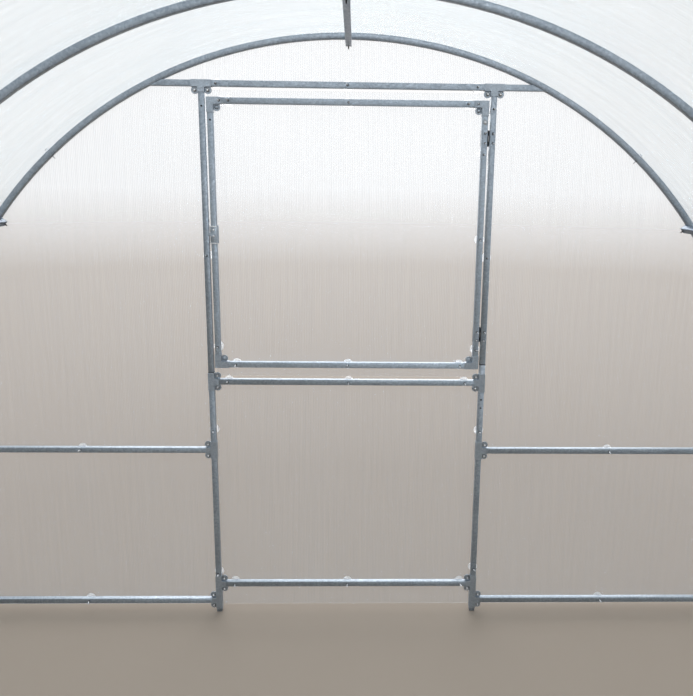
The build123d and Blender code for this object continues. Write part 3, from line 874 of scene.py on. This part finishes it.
# %% Lever and rolled ends of the latch
LEVER_PIVOT, LEVER_TIP = (0.0, -0.0040), (0.0175, 0.0060)
LEVER_WIDE, LEVER_NARROW = 0.0062, 0.0048
LEVER_THICK, LEVER_GAP, LEVER_CORNER = 0.0025, 0.0002, 0.0005
END_STEPS = 12
ROLL_RADIUS, ROLL_LENGTH, ROLL_CHAMFER = 0.0022, 0.0232, 0.0004
# The rolled ends get bright zinc: a painted highlight on the plate's folds.
highlight_roll = turned([(0.0018, 0.0), (ROLL_RADIUS, ROLL_CHAMFER), (ROLL_RADIUS, ROLL_LENGTH - ROLL_CHAMFER),
               (0.0018, ROLL_LENGTH)], 16)


def lever_outline():
    """The lever's outline round its two ends, in u and v from the latch's middle."""
    slope = math.atan2(LEVER_TIP[1] - LEVER_PIVOT[1], LEVER_TIP[0] - LEVER_PIVOT[0])
    outline = []
    for (u, v), radius, start in ((LEVER_PIVOT, LEVER_WIDE, 90.0), (LEVER_TIP, LEVER_NARROW, -90.0)):
        for step in range(END_STEPS + 1):
            angle = slope + math.radians(start + 180.0 * step / END_STEPS)
            outline.append((u + radius * math.cos(angle), v + radius * math.sin(angle)))
    return outline


print("the lever's outline has", len(lever_outline()), "points")

# %% Put the latches together
UPPER_BOLT_RISE, LOWER_BOLT_RISE = 0.0168, LEVER_PIVOT[1]
latch_head = turned([(0.0040, 0.0), (0.0042, 0.0005), (0.0038, 0.0016), (0.0026, 0.0025),
                     (0.0010, 0.0029)], 20)


def latch_parts(name, node, inward, body):
    """Levers, rolled ends and bolts for the latches of a node."""
    boxes = clusters(node)
    depths = sorted({round(abs(y), 5) for low, high in boxes for y in (low.y, high.y)})
    inner, outer = depths[0], depths[-1]
    plate_half = (boxes[0][1].z - boxes[0][0].z) / 2.0
    x = (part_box(node)[0].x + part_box(node)[1].x) / 2.0
    lever_back = inner - LEVER_GAP
    points, faces, highlight_rolls, heads, nuts = [], [], [], [], []
    for z in middles(node, Z):
        for end in (-1.0, 1.0):
            roll_z = z + end * (plate_half - ROLL_RADIUS)
            highlight_rolls.append(((x - ROLL_LENGTH / 2.0, -inward * inner, roll_z), (1, 0, 0), 0.0))
        flat, lever_faces = plate(lever_outline(), 0.0, LEVER_THICK)
        placed = [(x + u, -inward * (lever_back - depth), z + v) for u, depth, v in flat]
        add_shape(points, faces, (placed, lever_faces))
        heads.append(((x, -inward * inner, z + UPPER_BOLT_RISE), (0, inward, 0), 0.0))
        heads.append(((x, -inward * (lever_back - LEVER_THICK), z + LOWER_BOLT_RISE), (0, inward, 0), 0.0))
        for rise in (UPPER_BOLT_RISE, LOWER_BOLT_RISE):
            nuts.append(((x, -inward * outer, z + rise), (0, -inward, 0), rng.uniform(0, 60)))
    lever = new_piece(f"{name}_lever", points, faces, clamp_zinc, body)
    lever.data.shade_smooth()
    round_edges(lever, LEVER_CORNER, 2)
    # Painted highlight: the rolled ends shine in bright zinc.
    scatter(f"{name}_rolled_end_highlights", highlight_roll, highlight_rolls, bright_zinc_and_highlight, body)
    scatter(f"{name}_bolt_heads", latch_head, heads, bright_zinc_and_highlight, body)
    scatter(f"{name}_bolt_nuts", nut_side, nuts, nut_zinc, body)
    scatter(f"{name}_bolt_ends", end_side, nuts, bright_zinc_and_highlight, body)


latch_parts("leaf_latch", "leaf_latch", 1, "leaf")
latch_parts("back_latch", "back_latches", -1, "greenhouse")

# %% [markdown]
# ## Screws of the long tubes
# Where a long tube crosses an arch, a black screw goes through both from outside, and its tip pokes out
# inside. The tubes' own boxes say where the crossings are.

# %% Screws at the crossings
arch_nodes = sorted((name for name in cad_nodes if "arch" in name), key=lambda name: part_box(name)[0].y)
arch_places = [(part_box(name)[0].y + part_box(name)[1].y) / 2.0 for name in arch_nodes]
crossings = []
for node in ("ridge_purlin", "side_purlins", "base_rails"):
    for low, high in clusters(node):
        x, z = (low.x + high.x) / 2.0, (low.z + high.z) / 2.0
        outward = Vector((x, 0.0, max(z - ARCH_CENTRE_Z, 0.0))).normalized()
        for y in arch_places:
            crosses = low.y < y - TUBE_HALF and high.y > y + TUBE_HALF
            if crosses or node != "base_rails":
                spot = Vector((x, y, z)) - outward * TUBE_HALF
                crossings.append((spot, -outward, rng.uniform(0, 60)))
scatter("crossing_screws", threaded(CROSSING_TIP), crossings, dark_steel_and_painted_shade, "greenhouse")

# %% [markdown]
# ## Screws of the roof
# From outside, a few screws hold the roof sheet to every arch, each on a small milky washer. They go
# straight through the tube, so their tips poke out of its inner face. We cast a ray at the roof at each
# place and stand the screw where it meets the sheet, so they follow the lap of the sheets too.

# %% Screws of the roof
ROOF_ANGLES, LEG_HEIGHTS = (12.0, 47.85, 131.75, 168.0), (0.12, 0.38)
SEAL_HEIGHT, ROOF_SCREW_RISE, RAY_START = 0.0020, 0.0054, 2.0
ROOF_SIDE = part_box("roof_sheet_back")[1].x
seal = turned([(0.0076, 0.0), (0.0080, 0.0005), (0.0078, 0.0014), (0.0062, SEAL_HEIGHT)], 24)
roof_head = turned([(0.0062, 0.0), (0.0062, 0.0006), (0.0042, 0.0007), (0.0042, 0.0028), (0.0037, 0.0033)], 6)


def roof_surface(start, inward):
    """Where a ray from outside first meets a roof sheet, or None."""
    hits = []
    for node in ("roof_sheet_front", "roof_sheet_back"):
        hit, place = cad_nodes[node].ray_cast(start, inward)[:2]
        if hit:
            hits.append(((place - start).length, place))
    return min(hits)[1] if hits else None


arch_spots = [((math.cos(math.radians(a)), math.sin(math.radians(a))), ARCH_CENTRE_Z) for a in ROOF_ANGLES]
arch_spots += [((side, 0.0), z) for side in (-1.0, 1.0) for z in LEG_HEIGHTS]
seals, roof_tips = [], []
for y in arch_places:
    for (out_x, out_z), z in arch_spots:
        outward = Vector((out_x, 0.0, out_z))
        place = roof_surface(Vector((0.0, y, z)) + outward * RAY_START, -outward)
        if place and abs(place.x) + ROOF_SCREW_RISE < ROOF_SIDE:
            seals.append((place, outward, rng.uniform(0, 60)))
        inner_face = Vector((0.0, y, z)) + outward * (ARCH_OUTSIDE - 2.0 * TUBE_HALF)
        roof_tips.append((inner_face, -outward, rng.uniform(0, 60)))
roof_heads = [(place + outward * SEAL_HEIGHT, outward, spin) for place, outward, spin in seals]
scatter("roof_seals", seal, seals, milky, "greenhouse")
scatter("roof_screw_heads", roof_head, roof_heads, bright_zinc_and_highlight, "greenhouse")
scatter("roof_screw_tips", threaded(ROOF_TIP), roof_tips, bright_zinc_and_highlight, "greenhouse")
# The burrs are painted shade round the roof screws' tips.
scatter("roof_screw_burrs", burr_shade, roof_tips, dark_steel_and_painted_shade, "greenhouse")

# %% [markdown]
# ## Floor
# The floor is a plain disc just under the feet. A hard edge would show as a horizon, so its alpha falls off
# with one over the distance. Its colour grows lighter away from the greenhouse, painted light on the far
# ground, so near the greenhouse it is a little darker.

# %% Floor
FLOOR_RADIUS, FLOOR_DROP, FADE_START = 120.0, 0.001, 14.0
NEAR_FLOOR, LIT_FAR_FLOOR = (0.34, 0.28, 0.225), (0.46, 0.39, 0.33)
NEAR_UNTIL, FAR_FROM = 3.5, 12.0
bpy.ops.mesh.primitive_circle_add(
    vertices=96, radius=FLOOR_RADIUS, fill_type="NGON", location=(0.0, 0.0, -FLOOR_DROP))
floor = bpy.context.object
floor.name = "floor"
floor_finish, nodes, links, shader = new_finish("pale floor", NEAR_FLOOR, 0.8)
distance = nodes.new("ShaderNodeVectorMath")
distance.operation = "LENGTH"
links.new(stretched_place(nodes, links), distance.inputs[0])
division = nodes.new("ShaderNodeMath")
division.operation = "DIVIDE"
division.inputs[0].default_value = 1.0
links.new(distance.outputs["Value"], division.inputs[1])
nearness = division.outputs["Value"]
fade = spread(nodes, links, nearness, 0.0, 1.0, 1.0 / FLOOR_RADIUS, 1.0 / FADE_START)
links.new(fade, shader.inputs["Alpha"])
closer = spread(nodes, links, nearness, 0.0, 1.0, 1.0 / FAR_FROM, 1.0 / NEAR_UNTIL)
# Lighter colour far away: painted light.
floor_colour = ramp(nodes, links, closer, [(0.0, LIT_FAR_FLOOR), (1.0, NEAR_FLOOR)])
links.new(floor_colour, shader.inputs["Base Color"])
floor.data.materials.append(floor_finish)
print("floor of", FLOOR_RADIUS, "m radius, fading from", FADE_START, "m")

# %% [markdown]
# ## Daylight
# Daylight comes from everywhere. A pale world lights the inside through the clear sheet. Light Path finds
# the rays that the eye sees, straight, in a mirror or through the sheet, and those get a white background.
# Three very wide sun lamps stand for the brightest patches of cloud: one high up, one low in front for the
# tops of the low tubes, and a weaker one low behind the camera for the faces of the arches.

# %% World and lamps
LAMP_DISTANCE = 10.0
world = bpy.data.worlds.new("daylight")
scene.world = world
world.use_nodes = True
nodes, links = world.node_tree.nodes, world.node_tree.links
sky = nodes["Background"]
sky.inputs["Color"].default_value = (0.90, 0.95, 1.0, 1.0)
sky.inputs["Strength"].default_value = 0.6
seen = nodes.new("ShaderNodeBackground")
seen.inputs["Color"].default_value = (1.0, 1.0, 1.0, 1.0)
seen.inputs["Strength"].default_value = 1.0
path = nodes.new("ShaderNodeLightPath")
sees_white = path.outputs["Is Camera Ray"]
for ray in ("Is Glossy Ray", "Is Transmission Ray"):
    sees_white = combined(nodes, links, "MAXIMUM", sees_white, path.outputs[ray])
mixed = nodes.new("ShaderNodeMixShader")
links.new(sees_white, mixed.inputs["Fac"])
links.new(sky.outputs["Background"], mixed.inputs[1])
links.new(seen.outputs["Background"], mixed.inputs[2])
links.new(mixed.outputs["Shader"], nodes["World Output"].inputs["Surface"])


def daylight(name, strength, width, elevation, heading):
    """A soft patch of sky as a sun lamp; its angles are in degrees, and heading 0 is the front end."""
    data = bpy.data.lights.new(name, "SUN")
    data.energy = strength
    data.angle = math.radians(width)
    lamp = bpy.data.objects.new(name, data)
    rise, turn = math.radians(elevation), math.radians(heading)
    toward = Vector((math.sin(turn) * math.cos(rise), -math.cos(turn) * math.cos(rise), math.sin(rise)))
    lamp.rotation_euler = toward.to_track_quat("Z", "Y").to_euler()
    lamp.location = toward * LAMP_DISTANCE
    scene.collection.objects.link(lamp)
    print(name, "of strength", strength, "and", width, "degrees wide")


daylight("high sky", 0.9, 100.0, 75.0, 60.0)
daylight("low sky", 1.5, 48.0, 22.0, -1.0)
daylight("rear sky", 0.4, 26.0, 16.0, 180.0)

# %% [markdown]
# ## The camera
# The view is from inside, near the middle, and slightly down at the front end wall. Its position, turn and
# focal length come from a camera fitted to points along the end wall's posts and bars and two arches.

# %% Place the camera
IMAGE_WIDTH = 693.0
SENSOR = 36.0
FOCAL_PIXELS = 756.9
CENTRE_OFFSET_PIXELS = 27.9
CAMERA_PLACE = Vector((-0.0251, 0.6598, 1.6334))
YAW, PITCH, ROLL = (math.radians(angle) for angle in (1.555, 12.586, 0.693))

forward = Vector((-math.sin(YAW) * math.cos(PITCH), -math.cos(YAW) * math.cos(PITCH), -math.sin(PITCH)))
level_right = Vector((-math.cos(YAW), math.sin(YAW), 0.0))
level_up = level_right.cross(forward)
right = math.cos(ROLL) * level_right + math.sin(ROLL) * level_up
up = -math.sin(ROLL) * level_right + math.cos(ROLL) * level_up
camera_data = bpy.data.cameras.new("camera")
camera_data.sensor_fit = "HORIZONTAL"
camera_data.sensor_width = SENSOR
camera_data.lens = FOCAL_PIXELS * SENSOR / IMAGE_WIDTH
camera_data.shift_x = -CENTRE_OFFSET_PIXELS / IMAGE_WIDTH
camera_data.clip_start = 0.01
camera = bpy.data.objects.new("camera", camera_data)
camera_turn = Matrix((right, up, -forward)).transposed().to_4x4()
camera.matrix_world = Matrix.Translation(CAMERA_PLACE) @ camera_turn
scene.collection.objects.link(camera)
scene.camera = camera
print("camera lens", round(camera_data.lens, 2), "mm")

# %% Standard colour view
scene.view_settings.view_transform = "Standard"
